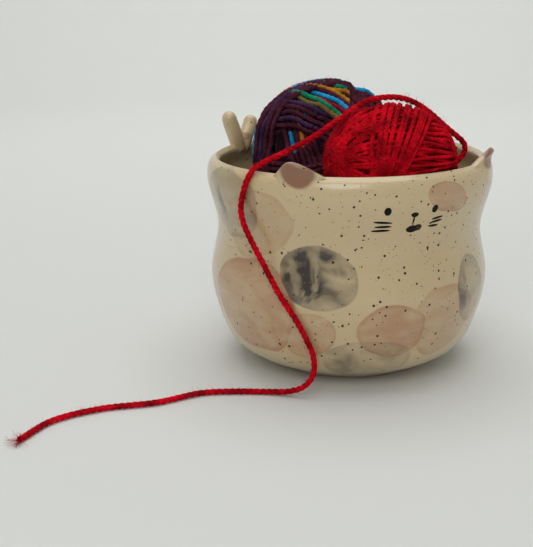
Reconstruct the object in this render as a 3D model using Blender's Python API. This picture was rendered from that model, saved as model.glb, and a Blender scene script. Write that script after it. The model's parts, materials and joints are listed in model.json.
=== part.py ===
"""Yarn bowl with a cat's face, holding two balls of yarn on top of a larger yarn cake.

Metres, +Z up. The origin is the middle of the foot, on the bowl's axis. The face looks along -Y.
Azimuths are degrees round the bowl's axis: 0 is the face, and they grow towards +X.
"""

import bmesh
import bpy
from math import asin, atan2, cos, degrees, pi, radians, sin, sqrt
from mathutils import Matrix, Vector

# ---------------------------------------------------------------- the thrown bowl
BOWL_HEIGHT = 0.1129
FOOT_RADIUS = 0.0402
BELLY_RADIUS = 0.0748
BELLY_HEIGHT = 0.050
WAIST_RADIUS = 0.0708
WAIST_DROP = 0.0360  # below the rim
SHOULDER_RADIUS = 0.0760
SHOULDER_DROP = 0.0113  # below the rim
LIP_RADIUS = 0.0713  # of the lip's crest
LIP_THICKNESS = 0.0044
WALL = 0.0050
FLOOR_THICKNESS = 0.0070
HAUNCH = (0.67, 0.27)  # on the way from foot to belly: shares of the way out and of the way up
FLANK = (0.88, 0.57)
BOWL_SIDES = 56

# ---------------------------------------------------------------- ears and tail, on the rim
JOINT_GAP = 0.0003  # between pieces that touch
EAR_AZIMUTH = 44.0
EAR_WIDTH = 0.0205
EAR_HEIGHT = 0.0068
EAR_LEAN = 0.0040  # how far the tip stands outside the lip's crest
EAR_TIP_THICKNESS = 0.0024
EAR_PEAK_SHIFT = 0.22  # of half the width, away from the face
EAR_END_HEIGHT = 0.0006  # of the ear's two low ends
EAR_STEPS = 12
TAIL_AZIMUTH = -145.0
TAIL_RADIUS = 0.0040
TAIL_LEFT_LENGTH = 0.0190
TAIL_RIGHT_LENGTH = 0.0150
TAIL_LEFT_LEAN = 14.0  # degrees from upright, along the rim
TAIL_RIGHT_LEAN = 27.0
TAIL_OUTWARD = 0.0022  # tips stand this far outside the lip's crest
TAIL_STEPS = 6  # along the straight part of a prong
TIP_STEPS = 3  # round its tip
TIP_END = 0.95  # how far round the tip goes before a small flat closes it
TAIL_SIDES = 14

# ---------------------------------------------------------------- the yarn
YARN = 0.0032  # across the red strand
PAIR_TURN = 5.2  # degrees; the two upper balls lie side by side across this line
SIDE_CLEARANCE = 0.0015  # ball to mouth, and half of it to the next ball
RED_RADIUS = 0.0280
RED_STRETCH = 1.25  # half length over radius
RED_RISE = 0.0004  # middle above the rim
RED_SHIFT = 0.0020  # along its own length
RED_DIP = 6.0  # degrees, its +X end low
BAND_THICKNESS = 0.0013  # wraps that cross the red ball's middle
BAND_EDGE = 0.0006  # the same at the band's two sides, which are rounded
BAND_LIFT = 0.0002  # of its underside, because a ball of flat faces is a little proud between them
BAND_WIDTH = 0.0240
BAND_TILT = 17.0
MULTI_STRETCH = 1.23
MULTI_RISE = -0.0014
MULTI_SHIFT = 0.0040
MULTI_DIP = 2.0
CENTRE_SHARE = 0.45  # a ball's centre, wound first, over the whole ball
CENTRE_GAP = 0.0010  # between a ball's centre and the wraps round it
EYE_RADIUS = 0.0026  # of the hole at each end of a wound ball
CAKE_RADIUS = 0.0490
CAKE_EDGE = 0.0110  # radius of its rounded edges
CAKE_SIDES = 36
CAKE_CLEARANCE = 0.0006  # under the two balls, and over the bowl's floor
BALL_SIDES = 32
CENTRE_SIDES = 20

# ---------------------------------------------------------------- worked out from those
MOUTH_RADIUS = LIP_RADIUS - LIP_THICKNESS / 2
SEAT = BOWL_HEIGHT + JOINT_GAP  # where ears and tail stand
FLOOR = FLOOR_THICKNESS
RED_SWEEP = RED_RADIUS + JOINT_GAP + BAND_THICKNESS
MULTI_RADIUS = MOUTH_RADIUS - 1.5 * SIDE_CLEARANCE - RED_SWEEP

# The red strand's route, in millimetres: out of the ball's end, up and over the ball, down over
# the rim, along the belly and away over the table.
STRAND_ROUTE = (
    (38.9, -34.6, 109.8), (41.1, -34.4, 109.5), (45.2, -34.5, 110.3), (48.2, -35.4, 113.1),
    (48.9, -36.8, 117.0), (47.1, -38.2, 120.6), (43.6, -37.7, 124.0), (39.8, -36.3, 127.3),
    (35.2, -34.9, 131.4), (29.0, -33.9, 136.7), (21.0, -33.3, 141.8), (12.5, -33.7, 144.7),
    (3.5, -34.4, 145.5), (-6.0, -34.8, 144.4), (-15.0, -35.4, 140.4), (-23.5, -35.8, 135.4),
    (-38.0, -35.9, 127.4), (-52.0, -34.8, 121.0), (-60.5, -33.4, 117.4), (-66.0, -33.0, 114.4),
    (-69.4, -33.0, 109.8), (-71.3, -31.6, 103.0), (-72.0, -29.6, 95.0), (-71.0, -30.2, 87.5),
    (-68.2, -34.4, 78.5), (-64.1, -41.8, 66.8), (-59.3, -49.2, 54.0), (-53.6, -54.6, 43.0),
    (-48.2, -56.4, 31.8), (-44.8, -57.1, 22.4), (-45.0, -57.2, 13.4), (-48.6, -55.2, 7.2),
    (-54.5, -49.8, 3.2), (-63.5, -43.2, 1.8), (-77.0, -37.0, 1.7), (-95.0, -31.8, 1.7),
    (-119.0, -35.0, 1.7), (-147.0, -32.2, 1.7), (-171.0, -37.4, 1.7), (-188.6, -52.9, 1.7),
)
STRAND_POINTS = 80


# ---------------------------------------------------------------- helpers
def material(name, colour, roughness):
    made = bpy.data.materials.get(name)
    if made is None:
        made = bpy.data.materials.new(name)
        made.use_nodes = True
        shader = made.node_tree.nodes["Principled BSDF"]
        shader.inputs["Base Color"].default_value = (*colour, 1)
        shader.inputs["Roughness"].default_value = roughness
        shader.inputs["Metallic"].default_value = 0
        made.diffuse_color = (*colour, 1)
    return made


def finish(name, bm, finish_material, place=Matrix()):
    """Turns a bmesh into the named object, faces outwards and round shapes shaded smooth."""
    bmesh.ops.remove_doubles(bm, verts=bm.verts[:], dist=1e-6)
    bmesh.ops.recalc_face_normals(bm, faces=bm.faces[:])
    mesh = bpy.data.meshes.new(name)
    bm.to_mesh(mesh)
    bm.free()
    mesh.shade_smooth()
    mesh.set_sharp_from_angle(angle=radians(40))
    mesh.materials.append(finish_material)
    made = bpy.data.objects.new(name, mesh)
    bpy.context.scene.collection.objects.link(made)
    made.matrix_world = place
    return made


def through(points, per_span):
    """A smooth line through points: a Catmull-Rom curve, each span cut into per_span pieces."""
    points = [Vector(p) for p in points]
    first, last = 2 * points[0] - points[1], 2 * points[-1] - points[-2]
    padded = [first, *points, last]
    line = [points[0]]
    for a, b, c, d in zip(padded, padded[1:], padded[2:], padded[3:]):
        ta = sqrt((b - a).length)
        tb = ta + sqrt((c - b).length)
        tc = tb + sqrt((d - c).length)
        for step in range(1, per_span + 1):
            t = ta + (tb - ta) * step / per_span
            ab = a.lerp(b, t / ta)
            bc = b.lerp(c, (t - ta) / (tb - ta))
            cd = c.lerp(d, (t - tb) / (tc - tb))
            abc = ab.lerp(bc, t / tb)
            bcd = bc.lerp(cd, (t - ta) / (tc - ta))
            line.append(abc.lerp(bcd, (t - ta) / (tb - ta)))
    return line


def evenly(line, count):
    """count points at equal steps along a line."""
    reach = [0.0]
    for a, b in zip(line, line[1:]):
        reach.append(reach[-1] + (b - a).length)
    made, k = [], 0
    for i in range(count):
        want = reach[-1] * i / (count - 1)
        while k < len(line) - 2 and reach[k + 1] < want:
            k += 1
        made.append(line[k].lerp(line[k + 1], (want - reach[k]) / (reach[k + 1] - reach[k])))
    return made


def turned(profile, sides, closed=False):
    """Spins (radius, height) points round Z. A point on the axis closes the form there."""
    bm = bmesh.new()
    ring = [bm.verts.new((r, 0, z)) for r, z in profile]
    pairs = list(zip(ring, ring[1:]))
    if closed:
        pairs.append((ring[-1], ring[0]))
    edges = [bm.edges.new(pair) for pair in pairs]
    bmesh.ops.spin(
        bm, geom=ring + edges, axis=(0, 0, 1), angle=2 * pi, steps=sides, use_merge=True
    )
    return bm


def loft(rings):
    """Bridges closed rings of points, one to the next, and caps both ends."""
    bm = bmesh.new()
    loops = []
    for ring in rings:
        verts = [bm.verts.new(p) for p in ring]
        loops.append([bm.edges.new(pair) for pair in zip(verts, verts[1:] + verts[:1])])
    for a, b in zip(loops, loops[1:]):
        bmesh.ops.bridge_loops(bm, edges=a + b)
    bmesh.ops.holes_fill(bm, edges=loops[0], sides=len(loops[0]))
    bmesh.ops.holes_fill(bm, edges=loops[-1], sides=len(loops[-1]))
    return bm


def on_rim(azimuth, radius, height):
    turn = radians(azimuth)
    return Vector((radius * sin(turn), -radius * cos(turn), height))


# ---------------------------------------------------------------- bowl
def bowl():
    """The thrown body: foot, belly, waist, shoulder and a rounded lip, with an even wall."""
    waist = BOWL_HEIGHT - WAIST_DROP
    shoulder = BOWL_HEIGHT - SHOULDER_DROP
    swell = BELLY_RADIUS - FOOT_RADIUS
    outside = (
        (FOOT_RADIUS, 0),
        (FOOT_RADIUS + HAUNCH[0] * swell, HAUNCH[1] * BELLY_HEIGHT),
        (FOOT_RADIUS + FLANK[0] * swell, FLANK[1] * BELLY_HEIGHT),
        (BELLY_RADIUS, BELLY_HEIGHT),
        (WAIST_RADIUS, waist),
        (SHOULDER_RADIUS, shoulder),
        (LIP_RADIUS + 0.75 * LIP_THICKNESS, BOWL_HEIGHT - 0.57 * LIP_THICKNESS),
        (LIP_RADIUS, BOWL_HEIGHT),
    )
    inside = (
        (LIP_RADIUS, BOWL_HEIGHT),
        (MOUTH_RADIUS, BOWL_HEIGHT - 0.5 * LIP_THICKNESS),
        (SHOULDER_RADIUS - WALL, shoulder),
        (WAIST_RADIUS - WALL, waist),
        (BELLY_RADIUS - WALL, BELLY_HEIGHT),
        (0.84 * (BELLY_RADIUS - WALL), FLOOR + 0.2 * BELLY_HEIGHT),
        (FOOT_RADIUS, FLOOR),
    )

    def smooth(stations):
        return [(p.x, p.y) for p in through([(r, z, 0) for r, z in stations], 3)]

    profile = [(0, 0), *smooth(outside), *smooth(inside)[1:], (0, FLOOR)]
    finish("bowl", turned(profile, BOWL_SIDES), material("glazed_stoneware", (0.75, 0.67, 0.54), 0.25))


# ---------------------------------------------------------------- ears
def ear(name, side):
    """A pinched, rounded triangle of clay on the rim, leaning outwards. side is -1 or 1."""
    half = EAR_WIDTH / 2
    peak = side * EAR_PEAK_SHIFT
    rings = []
    tip = EAR_TIP_THICKNESS / 2
    base = LIP_THICKNESS / 2
    for i in range(EAR_STEPS + 1):
        s = -1 + 2 * i / EAR_STEPS
        reach = (s - peak) / ((1 - peak) if s > peak else (1 + peak))
        rise = cos(pi / 2 * reach) ** 2
        height = EAR_END_HEIGHT + (EAR_HEIGHT - EAR_END_HEIGHT) * rise
        azimuth = side * EAR_AZIMUTH + degrees(s * half / LIP_RADIUS)
        lean = EAR_LEAN * rise
        section = (
            (-base, 0),
            (base, 0),
            (0.55 * lean + 0.75 * base + 0.25 * tip, 0.5 * height),
            (lean + tip, 0.88 * height),
            (lean, height),
            (lean - tip, 0.88 * height),
            (0.45 * lean - 0.75 * base - 0.25 * tip, 0.5 * height),
        )
        rings.append([on_rim(azimuth, LIP_RADIUS + r, SEAT + z) for r, z in section])
    finish(name, loft(rings), material("pink_slip_stoneware", (0.48, 0.31, 0.24), 0.3))


# ---------------------------------------------------------------- tail
def tail_prong(name, side, length, lean):
    """One rolled coil of the forked tail. side is 1 towards the face and -1 away from it."""
    straight = length - TAIL_RADIUS
    stations = [(straight * i / TAIL_STEPS, TAIL_RADIUS) for i in range(TAIL_STEPS + 1)]
    for i in range(1, TIP_STEPS + 1):
        turn = pi / 2 * TIP_END * i / TIP_STEPS
        stations.append((straight + TAIL_RADIUS * sin(turn), TAIL_RADIUS * cos(turn)))
    rings = []
    for height, radius in stations:
        along = side * (TAIL_RADIUS + JOINT_GAP + sin(radians(lean)) * height)
        out = TAIL_OUTWARD * (height / length) ** 1.5
        azimuth = TAIL_AZIMUTH + degrees(along / LIP_RADIUS)
        middle = on_rim(azimuth, LIP_RADIUS + out, SEAT + height)
        turns = [2 * pi * k / TAIL_SIDES for k in range(TAIL_SIDES)]
        rings.append([middle + radius * Vector((cos(turn), sin(turn), 0)) for turn in turns])
    finish(name, loft(rings), material("glazed_stoneware", (0.75, 0.67, 0.54), 0.25))


# ---------------------------------------------------------------- balls
def ball_place(away, rise, shift, dip):
    """A ball's own frame: X along its length, its middle away (metres, +Y) from the bowl's axis."""
    turn = Matrix.Rotation(radians(PAIR_TURN), 4, "Z")
    middle = Matrix.Translation((shift, away, BOWL_HEIGHT + rise))
    return turn @ middle @ Matrix.Rotation(radians(dip), 4, "Y")


def rise_in_mouth(away, rise, shift, length, radius):
    """The rise of a ball's middle: the one asked for, or higher where its ends would press on the rim.

    A ball lies in a round mouth like an egg in a cup. One that is too long for the mouth rests higher,
    where its section at the rim is smaller: every half width there is the same share of the whole.
    """
    room = MOUTH_RADIUS - SIDE_CLEARANCE / 2
    share = 1.0
    for i in range(91):
        x, y = length * sin(radians(i)), radius * cos(radians(i))
        square = x**2 + y**2
        half = abs(shift) * x + away * y
        rest = shift**2 + away**2 - room**2
        share = min(share, (sqrt(half**2 - square * rest) - half) / square)
    return max(rise, radius * sqrt(1 - share**2) - LIP_THICKNESS / 2)


RED_AWAY = MOUTH_RADIUS - SIDE_CLEARANCE - RED_SWEEP
MULTI_AWAY = MOUTH_RADIUS - SIDE_CLEARANCE - MULTI_RADIUS
RED_PLACE = ball_place(
    -RED_AWAY,
    rise_in_mouth(RED_AWAY, RED_RISE, RED_SHIFT, RED_SWEEP * RED_STRETCH, RED_SWEEP),
    RED_SHIFT,
    RED_DIP,
)
MULTI_PLACE = ball_place(
    MULTI_AWAY,
    rise_in_mouth(MULTI_AWAY, MULTI_RISE, MULTI_SHIFT, MULTI_RADIUS * MULTI_STRETCH, MULTI_RADIUS),
    MULTI_SHIFT,
    MULTI_DIP,
)
ALONG_X = Matrix.Rotation(radians(90), 4, "Y")  # turns a form made round Z to lie along X


def ball_centre(name, place, radius, stretch, yarn):
    """The first turns of a ball, wound tight."""
    radius = CENTRE_SHARE * radius
    steps = 12
    profile = [(0, -radius * stretch)]
    for i in range(1, steps):
        turn = pi * i / steps
        profile.append((radius * sin(turn), -radius * stretch * cos(turn)))
    profile.append((0, radius * stretch))
    finish(name, turned(profile, CENTRE_SIDES), yarn, place @ ALONG_X)


def ball_wraps(name, place, radius, stretch, yarn):
    """The winding round a ball's centre, with an eye at each end."""
    inner = CENTRE_SHARE * radius + CENTRE_GAP

    def arc(size, steps):
        start = asin(EYE_RADIUS / size)
        angles = [start + (pi - 2 * start) * i / steps for i in range(steps + 1)]
        return [(size * sin(a), -size * stretch * cos(a)) for a in angles]

    profile = arc(radius, 14) + arc(inner, 8)[::-1]  # 14 steps outside, 8 inside
    finish(name, turned(profile, BALL_SIDES, closed=True), yarn, place @ ALONG_X)


def red_ball_band(yarn):
    """Wraps that cross the red ball's middle on a slant, a little proud of the rest."""
    length, radius = RED_RADIUS * RED_STRETCH, RED_RADIUS
    slant = Matrix.Rotation(radians(BAND_TILT), 3, "Y")

    def skin(direction, gap):
        scale = 1 / sqrt((direction.x / length) ** 2 + (direction.y**2 + direction.z**2) / radius**2)
        point = direction * scale
        normal = Vector((point.x / length**2, point.y / radius**2, point.z / radius**2))
        return point + gap * normal.normalized()

    spread = BAND_WIDTH / 2 / RED_RADIUS
    rings = []
    for k in range(BALL_SIDES):
        turn = 2 * pi * k / BALL_SIDES
        section = []
        # over the top of the band from one side to the other, then back underneath
        for share, gap in (
            (-1, BAND_EDGE),
            (-0.5, BAND_THICKNESS),
            (0, BAND_THICKNESS),
            (0.5, BAND_THICKNESS),
            (1, BAND_EDGE),
            (1, BAND_LIFT),
            (0.5, BAND_LIFT),
            (0, BAND_LIFT),
            (-0.5, BAND_LIFT),
            (-1, BAND_LIFT),
        ):
            reach = share * spread
            direction = slant @ Vector((sin(reach), cos(reach) * cos(turn), cos(reach) * sin(turn)))
            section.append(skin(direction, JOINT_GAP + gap))
        rings.append(section)
    bm = bmesh.new()
    loops = []
    for section in rings:
        verts = [bm.verts.new(p) for p in section]
        loops.append([bm.edges.new(pair) for pair in zip(verts, verts[1:] + verts[:1])])
    for a, b in zip(loops, loops[1:] + loops[:1]):
        bmesh.ops.bridge_loops(bm, edges=a + b)
    finish("red_ball_band", bm, yarn, RED_PLACE)


# ---------------------------------------------------------------- the yarn cake underneath
def lowest(place, length, radius, up):
    """How low a ball reaches against the direction up."""
    middle = place.translation
    axis = place.to_3x3() @ Vector((1, 0, 0))
    along = axis.dot(up)
    return middle.dot(up) - sqrt((length * along) ** 2 + radius**2 * (1 - along**2))


def cake_place():
    """The cake's frame: Z along its axis, its origin in the middle of its top face."""
    reds, multis = RED_PLACE.translation, MULTI_PLACE.translation
    drop = (reds.z - RED_SWEEP) - (multis.z - MULTI_RADIUS)
    tilt = atan2(drop, (multis - reds).xy.length)
    turn = Matrix.Rotation(radians(PAIR_TURN), 4, "Z") @ Matrix.Rotation(-tilt, 4, "X")
    up = turn.to_3x3() @ Vector((0, 0, 1))
    level = min(
        lowest(RED_PLACE, RED_SWEEP * RED_STRETCH, RED_SWEEP, up),
        lowest(MULTI_PLACE, MULTI_RADIUS * MULTI_STRETCH, MULTI_RADIUS, up),
    )
    level -= CAKE_CLEARANCE
    top = level / up.z
    hang = CAKE_EDGE + (CAKE_RADIUS - CAKE_EDGE) * sin(abs(tilt)) + FLOOR + CAKE_CLEARANCE
    height = CAKE_EDGE + (top - hang) / up.z
    # half way down, its axis meets the bowl's
    middle = up * (height / 2)
    start = Vector((middle.x, middle.y, 0))
    start.z = (level - start.dot(up)) / up.z
    return Matrix.Translation(start) @ turn, height


def lower_cake(yarn):
    """A larger cake of yarn, tilted, that the two upper balls rest on."""
    place, height = cake_place()
    steps = 4
    edge = []
    for i in range(steps + 1):
        turn = pi / 2 * i / steps
        edge.append((CAKE_RADIUS - CAKE_EDGE * (1 - sin(turn)), CAKE_EDGE * (1 - cos(turn))))
    top = [(r, -drop) for r, drop in edge]
    bottom = [(r, drop - height) for r, drop in edge[::-1]]
    finish("lower_cake", turned([(0, 0), *top, *bottom, (0, -height)], CAKE_SIDES), yarn, place)


# ---------------------------------------------------------------- the strand
def red_strand(yarn):
    """The red ball's loose end: a round cord along its route."""
    line = evenly(through([Vector(p) / 1000 for p in STRAND_ROUTE], 12), STRAND_POINTS)
    data = bpy.data.curves.new("red_strand", "CURVE")
    data.dimensions = "3D"
    data.bevel_depth = YARN / 2
    data.bevel_resolution = 2
    data.use_fill_caps = True
    spline = data.splines.new("POLY")
    spline.points.add(len(line) - 1)
    for point, place in zip(spline.points, line):
        point.co = (*place, 1)
    data.materials.append(yarn)
    bpy.context.scene.collection.objects.link(bpy.data.objects.new("red_strand", data))


def main():
    for old in list(bpy.data.objects):
        bpy.data.objects.remove(old, do_unlink=True)
    red = material("red_wool", (0.35, 0.0, 0.02), 0.9)
    plum = material("variegated_wool", (0.07, 0.02, 0.05), 0.9)
    bowl()
    ear("ear_left", -1)
    ear("ear_right", 1)
    tail_prong("tail_prong_left", 1, TAIL_LEFT_LENGTH, TAIL_LEFT_LEAN)
    tail_prong("tail_prong_right", -1, TAIL_RIGHT_LENGTH, TAIL_RIGHT_LEAN)
    ball_centre("red_ball_centre", RED_PLACE, RED_RADIUS, RED_STRETCH, red)
    ball_wraps("red_ball_wraps", RED_PLACE, RED_RADIUS, RED_STRETCH, red)
    red_ball_band(red)
    ball_centre("multi_ball_centre", MULTI_PLACE, MULTI_RADIUS, MULTI_STRETCH, plum)
    ball_wraps("multi_ball_wraps", MULTI_PLACE, MULTI_RADIUS, MULTI_STRETCH, plum)
    lower_cake(material("oatmeal_wool", (0.45, 0.38, 0.28), 0.9))
    red_strand(red)


main()
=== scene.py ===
# %% [markdown]
# # A stoneware yarn bowl with a cat's face
# The bowl is a thrown and glazed pot. Two wound balls of wool lie in its mouth on top of a larger
# cake of yarn, and the red ball's loose end runs over the rim and away over the table.
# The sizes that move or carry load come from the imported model, so the first step opens it and keeps
# its box. Everything later is built round it, in metres, with +Z up.

# %% Open the model
import json
import random
from math import atan2, cos, degrees, hypot, pi, radians, sin, sqrt

import bmesh
import bpy
from mathutils import Matrix, Vector, noise
from mathutils.kdtree import KDTree


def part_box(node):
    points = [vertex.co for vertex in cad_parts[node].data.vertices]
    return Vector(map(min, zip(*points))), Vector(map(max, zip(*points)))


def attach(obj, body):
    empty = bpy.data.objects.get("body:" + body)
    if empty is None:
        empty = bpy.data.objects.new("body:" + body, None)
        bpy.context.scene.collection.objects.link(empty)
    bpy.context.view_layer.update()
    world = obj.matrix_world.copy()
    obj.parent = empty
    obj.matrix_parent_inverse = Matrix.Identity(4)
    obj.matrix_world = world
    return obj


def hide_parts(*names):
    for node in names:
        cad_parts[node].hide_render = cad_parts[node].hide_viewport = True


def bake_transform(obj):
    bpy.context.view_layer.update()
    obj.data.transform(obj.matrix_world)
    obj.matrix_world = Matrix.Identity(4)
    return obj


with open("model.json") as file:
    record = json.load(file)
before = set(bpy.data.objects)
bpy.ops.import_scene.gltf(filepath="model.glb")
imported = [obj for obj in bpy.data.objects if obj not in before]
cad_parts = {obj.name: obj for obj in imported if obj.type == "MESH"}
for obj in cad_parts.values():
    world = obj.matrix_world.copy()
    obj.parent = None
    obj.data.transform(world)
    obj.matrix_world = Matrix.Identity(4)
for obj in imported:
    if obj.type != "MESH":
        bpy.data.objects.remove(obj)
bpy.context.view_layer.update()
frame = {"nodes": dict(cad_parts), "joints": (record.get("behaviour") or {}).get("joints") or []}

MM = 0.001

# %% [markdown]
# # Camera
# A product picture of a small pot is taken with a short telephoto lens from about half a metre, a
# little above the rim. A real camera is aimed by turning it: first to its heading, then down, then a
# touch of roll. Multiplying the three turns in that order keeps each one a plain number.

# %% Camera
CAMERA_PLACE = Vector((-228.6, -483.6, 199.3)) * MM
CAMERA_HEADING = -20.5
CAMERA_DOWN = 16.04
CAMERA_ROLL = -0.59
CAMERA_LENS = 65.8

camera = bpy.data.objects.new("camera", bpy.data.cameras.new("camera"))
bpy.context.scene.collection.objects.link(camera)
camera.data.lens = CAMERA_LENS
camera.data.clip_start = 0.01
aim = Matrix.Rotation(radians(CAMERA_HEADING), 4, "Z")
aim @= Matrix.Rotation(radians(90 - CAMERA_DOWN), 4, "X")
aim @= Matrix.Rotation(radians(CAMERA_ROLL), 4, "Z")
camera.matrix_world = Matrix.Translation(CAMERA_PLACE) @ aim
bpy.context.scene.camera = camera
print(f"camera {camera.location.length * 1000:.0f} mm from the foot")

# %% [markdown]
# # Lines
# Yarn is all long smooth lines. A Catmull-Rom curve passes through every point it is given, so a
# route can be set down as the places that a strand really touches. A second helper then steps along
# the line at one even distance, which keeps the twist of the yarn even too.


# %% Helpers for lines
def through(points, per_span, closed=False):
    """A smooth line through points, each span cut into per_span pieces."""
    points = [Vector(p) for p in points]
    if closed:
        padded = [points[-1], *points, points[0], points[1]]
    else:
        padded = [2 * points[0] - points[1], *points, 2 * points[-1] - points[-2]]
    line = [points[0]]
    for a, b, c, d in zip(padded, padded[1:], padded[2:], padded[3:]):
        ta = sqrt((b - a).length)
        tb = ta + sqrt((c - b).length)
        tc = tb + sqrt((d - c).length)
        for step in range(1, per_span + 1):
            t = ta + (tb - ta) * step / per_span
            ab = a.lerp(b, t / ta)
            bc = b.lerp(c, (t - ta) / (tb - ta))
            cd = c.lerp(d, (t - tb) / (tc - tb))
            line.append(ab.lerp(bc, t / tb).lerp(bc.lerp(cd, (t - ta) / (tc - ta)), (t - ta) / (tb - ta)))
    return line[:-1] if closed else line


def line_length(line):
    """The length of a line of points."""
    return sum((b - a).length for a, b in zip(line, line[1:]))


def evenly(line, step):
    """The same line with its points one step apart."""
    whole = line_length(line)
    count = max(2, round(whole / step))
    made, k, done = [], 0, 0.0
    for i in range(count + 1):
        want = whole * i / count
        while k < len(line) - 2 and done + (line[k + 1] - line[k]).length < want:
            done += (line[k + 1] - line[k]).length
            k += 1
        span = (line[k + 1] - line[k]).length
        made.append(line[k].lerp(line[k + 1], min(1, (want - done) / span)))
    return made


print("lines ready")

# %% [markdown]
# # Plied yarn
# Knitting yarn is spun from several plies twisted round each other, and the twist is what the eye
# reads as wool. A round tube with a picture of a twist would look flat at the edges, so here the
# tube's section is three circles pressed together, and a curve object sweeps it along the line while
# its tilt grows. One curve holds many strands, and its mesh is taken once it is done.


# %% Helpers for yarn
PLIES = 3
PLY_TWIST = 9.5 * MM  # length over which one ply goes once round


def ply_section(radius, per_ply):
    """The outline of three soft plies pressed together, as a closed curve object."""
    offset, own = 0.42 * radius, 0.58 * radius
    count = PLIES * per_ply
    data = bpy.data.curves.new("ply_section", "CURVE")
    spline = data.splines.new("POLY")
    spline.points.add(count - 1)
    spline.use_cyclic_u = True
    for k, point in enumerate(spline.points):
        turn = 2 * pi * k / count
        lean = (turn + pi / PLIES) % (2 * pi / PLIES) - pi / PLIES
        reach = offset * cos(lean) + sqrt(own**2 - (offset * sin(lean)) ** 2)
        point.co = (reach * cos(turn), reach * sin(turn), 0, 1)
    made = bpy.data.objects.new("ply_section", data)
    bpy.context.scene.collection.objects.link(made)
    return made


def swept_piece(name, data, place=None):
    """Takes the mesh of a finished curve and makes it an object, its place kept in its mesh."""
    swept = bpy.data.objects.new(name + "_line", data)
    bpy.context.scene.collection.objects.link(swept)
    ready = swept.evaluated_get(bpy.context.evaluated_depsgraph_get())
    mesh = bpy.data.meshes.new_from_object(ready)
    bpy.data.objects.remove(swept)
    mesh.name = name
    if place is not None:
        mesh.transform(place)
    mesh.shade_smooth()
    made = bpy.data.objects.new(name, mesh)
    bpy.context.scene.collection.objects.link(made)
    return made


def yarn_piece(name, lines, radius, per_ply=3, closed=True, materials=(), picks=None, place=None):
    """A mesh of plied strands, one along each line. picks says which material each strand takes."""
    section = ply_section(radius, per_ply)
    data = bpy.data.curves.new(name, "CURVE")
    data.dimensions = "3D"
    data.bevel_mode = "OBJECT"
    data.bevel_object = section
    data.use_fill_caps = True
    for finish in materials:
        data.materials.append(finish)
    for i, line in enumerate(lines):
        spline = data.splines.new("POLY")
        spline.points.add(len(line) - 1)
        spline.use_cyclic_u = closed
        spline.material_index = picks[i] if picks else 0
        whole = line_length(line)
        turns = round(whole / PLY_TWIST * PLIES) / PLIES
        steps = len(line) if closed else len(line) - 1
        for k, (point, at) in enumerate(zip(spline.points, line)):
            point.co = (*at, 1)
            point.tilt = 2 * pi * turns * k / steps
    made = swept_piece(name, data, place)
    bpy.data.objects.remove(section)
    return made


print("yarn ready")

# %% [markdown]
# # Nodes and colours
# A finish is a handful of shader nodes. One small function adds a node with its settings and its
# links, so each material reads as a recipe. Colours are written the way a dye card gives them, as
# sRGB hex values, and one function turns them to the linear light that a renderer works in.


# %% Helpers for materials
def linear(code):
    """A colour such as "#c8b48c" as linear RGBA."""
    parts = [int(code[i : i + 2], 16) / 255 for i in (1, 3, 5)]
    return (*[c / 12.92 if c <= 0.04045 else ((c + 0.055) / 1.055) ** 2.4 for c in parts], 1)


def node(tree, kind, inputs=None, **settings):
    """Adds a shader node. inputs holds numbers or colours to set, and sockets to link."""
    made = tree.nodes.new("ShaderNode" + kind)
    for name, value in settings.items():
        setattr(made, name, value)
    for name, value in (inputs or {}).items():
        if isinstance(value, bpy.types.NodeSocket):
            tree.links.new(value, made.inputs[name])
        else:
            made.inputs[name].default_value = value
    return made


def new_material(name):
    """A new material, its node tree and its main shader."""
    made = bpy.data.materials.new(name)
    made.use_nodes = True
    return made, made.node_tree, made.node_tree.nodes["Principled BSDF"]


print("materials ready")

# %% [markdown]
# # Wool
# Wool scatters light inside its fibres: matt, a little bright at the rim where loose fibres catch the
# light, and never glossy. A worsted yarn's fibres lie along the plies, so fine streaks of light and
# dark run down it. Fibres are 0.03 mm thick, too fine to draw, so the streaks are drawn 0.4 mm wide.


# %% Wool finishes
FIBRE_STREAK = 0.4 * MM


def wool(name, light, dark, sheen="#ffffff"):
    """Dyed wool, streaked between two shades of one dye."""
    made, tree, shader = new_material(name)
    place = node(tree, "TexCoord").outputs["Object"]
    streaks = node(
        tree, "TexNoise", {"Vector": place, "Scale": 1 / (4 * FIBRE_STREAK), "Detail": 4.0, "Roughness": 0.65}
    )
    patches = node(tree, "TexNoise", {"Vector": place, "Scale": 120.0, "Detail": 2.0})
    mixed = node(
        tree, "Math", {0: streaks.outputs["Fac"], 1: patches.outputs["Fac"]}, operation="MULTIPLY"
    )
    shade = node(
        tree, "MapRange", {"Value": mixed.outputs[0], "From Min": 0.14, "From Max": 0.38}
    ).outputs[0]
    colour = node(tree, "Mix", {0: shade, 6: linear(dark), 7: linear(light)}, data_type="RGBA")
    tree.links.new(colour.outputs[2], shader.inputs["Base Color"])
    fine = node(
        tree, "TexNoise", {"Vector": place, "Scale": 1 / FIBRE_STREAK, "Detail": 3.0, "Roughness": 0.7}
    )
    raised = node(tree, "Bump", {"Height": fine.outputs["Fac"], "Strength": 0.55, "Distance": 0.25 * MM})
    tree.links.new(raised.outputs[0], shader.inputs["Normal"])
    shader.inputs["Roughness"].default_value = 0.9
    shader.inputs["Specular IOR Level"].default_value = 0.05
    shader.inputs["Sheen Weight"].default_value = 0.04
    shader.inputs["Sheen Roughness"].default_value = 0.5
    shader.inputs["Sheen Tint"].default_value = linear(sheen)
    return made


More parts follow.
